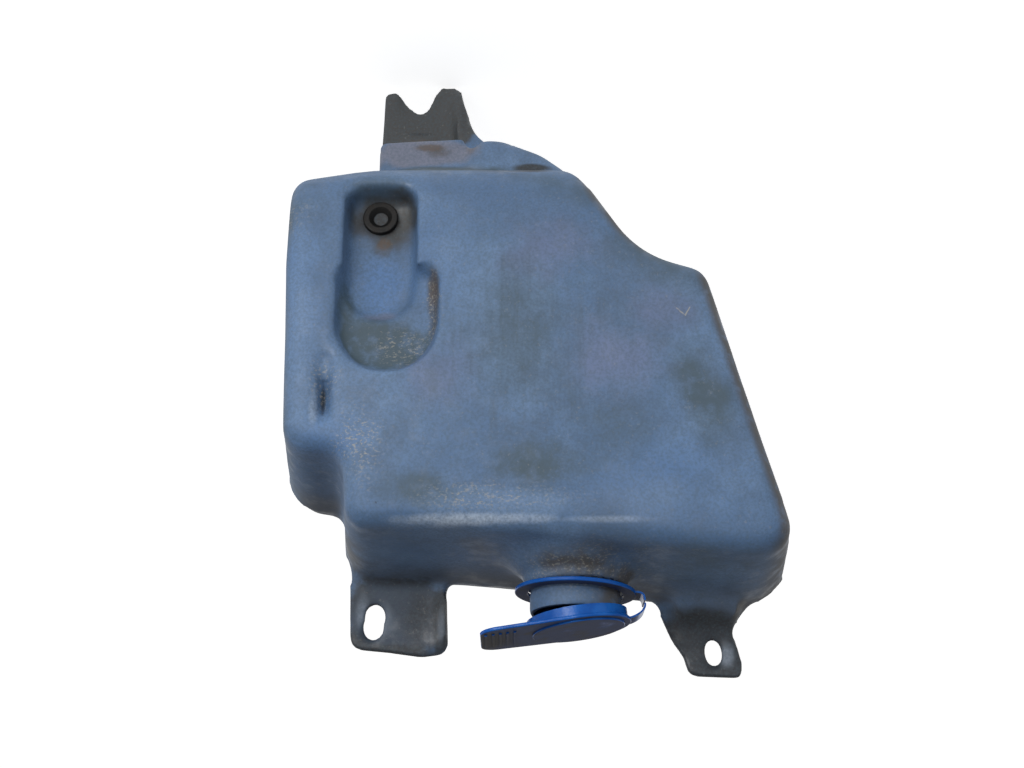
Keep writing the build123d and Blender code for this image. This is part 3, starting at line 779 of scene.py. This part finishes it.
def makeTankFinish():
    material, tree, shader, place = startMaterial("tankPlastic")
    at = place.outputs["Object"]
    facing = node(tree, "SeparateXYZ", {0: place.outputs["Normal"]})
    along = node(tree, "SeparateXYZ", {0: at})

    def patch(kind):
        return use(tree, mottle, {"Vector": at, **patches[kind]})

    def graded(value, kind):
        return ramp(tree, value, *ramps[kind])

    def lay(kind, colour):
        for centre, size, turn, feather, ragged, strength in stains[kind]:
            shape = {"Centre": centre, "Size": size, "Turn": radians(turn)}
            mask = use(tree, stain, {"Vector": at, **shape, "Feather": feather, "Ragged": ragged})
            if kind in ("grimeAndShade", "brown", "scuffAndHighlight"):
                mask = product(tree, mask, cover)
            colour = blendColour(tree, product(tree, mask, strength), colour, finish[kind])
        return colour

    colour = blendColour(tree, patch("blotch"), finish["clean"], finish["pale"])
    colour = blendColour(tree, product(tree, patch("deep"), amounts["deep"]), colour, finish["deep"])

    # the stains are broken up by fine dirt, except where plastic is rubbed bare
    broken = patch("broken")
    cover = graded(broken, "cover")
    for kind in ("fresh", "pale", "violet", "pinkish", "grimeAndShade"):
        colour = lay(kind, colour)

    # runs of dirty water down the pump side
    wet = use(tree, stain, {"Vector": at, **wetPlace})
    colour = blendColour(tree, product(tree, patch("runs"), wet, amounts["runs"]), colour, finish["grimeAndShade"])

    # painted shade and dirt in brown on what faces up, darker toward the parting line
    lumpy = patch("lumpy")
    upward = graded(facing.outputs["Z"], "upward")
    toSeam = graded(along.outputs["Y"], "toSeam")
    topShadeAndDirt = product(tree, upward, toSeam, graded(lumpy, "lumpyTopShade"))
    colour = blendColour(tree, topShadeAndDirt, colour, finish["brown"])

    # painted shade and dirt in brown on the slanted side; dirt on the far end and underneath
    slanted = product(tree, graded(facing.outputs["X"], "slanted"), graded(along.outputs["X"], "slantedSide"))
    colour = blendColour(tree, product(tree, slanted, cover), colour, finish["brown"])
    sideways = product(tree, graded(facing.outputs["X"], "sideways"), graded(along.outputs["X"], "sidewaysEnd"))
    colour = blendColour(tree, product(tree, sideways, lumpy), colour, finish["grimeAndShade"])
    downward = graded(facing.outputs["Z"], "downward")
    colour = blendColour(tree, product(tree, downward, lumpy), colour, finish["grimeAndShade"])

    for kind in ("brown", "caked", "rusty", "sootAndShade", "scuffAndHighlight"):
        colour = lay(kind, colour)

    # fine grain of stuck dust, and beds of grit
    colour = blendColour(tree, product(tree, patch("grain"), amounts["grain"]), colour, finish["grimeAndShade"])
    colour = blendColour(tree, product(tree, patch("bright"), amounts["bright"]), colour, finish["dust"])
    specks = patch("specks")
    for centre, size, strength in gritBeds:
        bed = use(tree, stain, {"Vector": at, "Centre": centre, "Size": size, "Feather": 0.9, "Ragged": 0.6})
        colour = blendColour(tree, product(tree, bed, specks, strength), colour, finish["dust"])
    for start, end, width, kind in scores:
        mask = use(tree, scoreMark, {"Vector": at, "From": start, "To": end, "Width": width})
        colour = blendColour(tree, product(tree, mask, amounts["scores"]), colour, finish[kind])
    tree.links.new(colour, shader.inputs["Base Color"])

    dull = maths(tree, "ADD", patch("shine"), product(tree, broken, amounts["dulled"]), clamp=True)
    tree.links.new(graded(dull, "roughness"), shader.inputs["Roughness"])
    fine = node(tree, "TexNoise", {"Vector": at, "Scale": wall["fine"], "Detail": 3.0}).outputs[0]
    coarse = node(tree, "TexNoise", {"Vector": at, "Scale": wall["coarse"], "Detail": 2.0}).outputs[0]
    fineHeight = product(tree, fine, wall["fineShare"])
    height = maths(tree, "ADD", fineHeight, product(tree, coarse, wall["coarseShare"]))
    bump = node(tree, "Bump", {"Strength": wall["strength"], "Distance": wall["depth"], "Height": height})
    tree.links.new(bump.outputs[0], shader.inputs["Normal"])
    return material


tankPiece = makeTank()
tankPiece.data.materials.clear()
tankPiece.data.materials.append(makeTankFinish())
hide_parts("tank")
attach(tankPiece, "tank")
print("tank blown and finished")

# the grommet: black rubber, dusty
rubber = {
    "black": paint(0.004, 0.004, 0.004),
    "dusty": paint(0.018, 0.015, 0.013),
    "bore": {"Centre": (-0.003, -0.072, -0.189), "Size": (0.0062, 1.0, 0.0062), "Feather": 0.3, "Ragged": 0.1},
    "specular": 0.22,
    "roughness": (0.45, 0.8),
}


def makeRubber():
    material, tree, shader, place = startMaterial("grommetRubber")
    at = place.outputs["Object"]
    dusty = use(tree, mottle, {"Vector": at, "Scale": 240.0, "Detail": 5.0, "Low": 0.35, "High": 0.75})
    # the bore stays plain black: painted shade in the hole
    bore = use(tree, stain, {"Vector": at, **rubber["bore"]})
    dusty = product(tree, dusty, maths(tree, "SUBTRACT", 1.0, bore))
    tree.links.new(blendColour(tree, dusty, rubber["black"], rubber["dusty"]), shader.inputs["Base Color"])
    shader.inputs["Specular IOR Level"].default_value = rubber["specular"]
    tree.links.new(ramp(tree, dusty, 0.0, 1.0, *rubber["roughness"]), shader.inputs["Roughness"])
    grain = node(tree, "TexNoise", {"Vector": at, "Scale": 1500.0, "Detail": 2.0})
    bump = node(tree, "Bump", {"Strength": 0.3, "Distance": 0.0002, "Height": grain.outputs[0]})
    tree.links.new(bump.outputs[0], shader.inputs["Normal"])
    return material


nodes["pump_grommet"].material_slots[0].material = makeRubber()
print("grommet finished")

# the cap: glossy blue, darker and patchy on its flat faces
cap = {
    "blue": paint(0.003, 0.055, 0.250),
    "worn": paint(0.008, 0.085, 0.330),
    "dirt": paint(0.024, 0.033, 0.074),
    "mud": paint(0.030, 0.027, 0.026),
    "specular": 0.12,
    "grip": {"Centre": (-0.056, -0.040, 0.010), "Size": (0.020, 0.03, 0.03), "Feather": 0.7, "Ragged": 0.4},
    "roughness": (0.22, 0.6),
    "amounts": {"dried": 0.95, "mud": 0.8, "grip": 0.95, "film": 0.25},
}


def makeCapFinish():
    material, tree, shader, place = startMaterial("capPlastic")
    at = place.outputs["Object"]
    amount = cap["amounts"]
    facing = node(tree, "SeparateXYZ", {0: place.outputs["Normal"]})
    worn = use(tree, mottle, {"Vector": at, "Scale": 90.0, "Detail": 4.0, "Low": 0.4, "High": 0.7})
    colour = blendColour(tree, worn, cap["blue"], cap["worn"])
    flat = ramp(tree, facing.outputs["Z"], 0.75, 0.97)
    dried = use(tree, mottle, {"Vector": at, "Scale": 60.0, "Detail": 6.0, "Low": 0.15, "High": 0.45})
    colour = blendColour(tree, product(tree, flat, dried, amount["dried"]), colour, cap["dirt"])
    mud = use(tree, mottle, {"Vector": at, "Scale": 110.0, "Detail": 6.0, "Low": 0.5, "High": 0.7})
    colour = blendColour(tree, product(tree, flat, mud, amount["mud"]), colour, cap["mud"])
    grip = use(tree, stain, {"Vector": at, **cap["grip"]})
    colour = blendColour(tree, product(tree, grip, flat, amount["grip"]), colour, cap["mud"])
    film = use(tree, mottle, {"Vector": at, "Scale": 45.0, "Detail": 7.0, "Low": 0.45, "High": 0.75})
    colour = blendColour(tree, product(tree, film, amount["film"]), colour, cap["dirt"])
    tree.links.new(colour, shader.inputs["Base Color"])
    shader.inputs["Specular IOR Level"].default_value = cap["specular"]
    rough = ramp(tree, product(tree, flat, dried), 0.0, 1.0, *cap["roughness"])
    tree.links.new(rough, shader.inputs["Roughness"])
    grain = node(tree, "TexNoise", {"Vector": at, "Scale": 500.0, "Detail": 3.0})
    bump = node(tree, "Bump", {"Strength": 0.2, "Distance": 0.0003, "Height": grain.outputs[0]})
    tree.links.new(bump.outputs[0], shader.inputs["Normal"])
    return material


capMaterial = makeCapFinish()
for name in ("cap_ring", "cap_lid"):
    nodes[name].material_slots[0].material = capMaterial
print("cap finished")

# stage: pale floor and soft studio light, under a sky that darkens upward
studio = {
    "floorLevel": -0.3085,
    "floorSize": 24.0,
    "floorColour": paint(0.90, 0.90, 0.90),
    "floorRoughness": 0.9,
    "floorGlow": 0.64,
    "skyLow": 1.0,
    "skyHigh": 0.42,
    "skyTurn": (0.0, 0.40),
    # name: place, aim, width, height, watts
    "lamps": {
        "softBox": ((0.80, -1.10, -0.14), (-0.07, -0.05, -0.13), 0.7, 0.5, 4.2),
        "edgeStrip": ((0.30, -1.15, -0.14), (-0.04, -0.08, -0.03), 0.5, 0.08, 5.0),
    },
}


def makeStage():
    bpy.ops.object.select_all(action="DESELECT")
    bpy.ops.mesh.primitive_plane_add(size=studio["floorSize"], location=(0, 0, studio["floorLevel"]))
    floor = bpy.context.object
    floor.name = "floor"
    material, tree, shader, place = startMaterial("paleFloor")
    shader.inputs["Base Color"].default_value = studio["floorColour"]
    shader.inputs["Roughness"].default_value = studio["floorRoughness"]
    shader.inputs["Emission Color"].default_value = paint(1, 1, 1)
    shader.inputs["Emission Strength"].default_value = studio["floorGlow"]
    floor.data.materials.append(material)
    world = bpy.data.worlds.new("studio")
    bpy.context.scene.world = world
    world.use_nodes = True
    tree = world.node_tree
    toward = node(tree, "SeparateXYZ", {0: node(tree, "TexCoord").outputs["Generated"]})
    strength = ramp(tree, toward.outputs["Z"], *studio["skyTurn"], studio["skyLow"], studio["skyHigh"])
    background = tree.nodes["Background"]
    background.inputs[0].default_value = paint(1, 1, 1)
    tree.links.new(strength, background.inputs[1])
    for name, (where, aim, width, height, watts) in studio["lamps"].items():
        lamp = bpy.data.lights.new(name, "AREA")
        lamp.shape, lamp.size, lamp.size_y, lamp.energy = "RECTANGLE", width, height, watts
        holder = bpy.data.objects.new(name, lamp)
        bpy.context.scene.collection.objects.link(holder)
        holder.location = where
        holder.rotation_euler = (Vector(aim) - Vector(where)).to_track_quat("-Z", "Y").to_euler()
        holder.visible_camera = False


makeStage()
print("stage set")
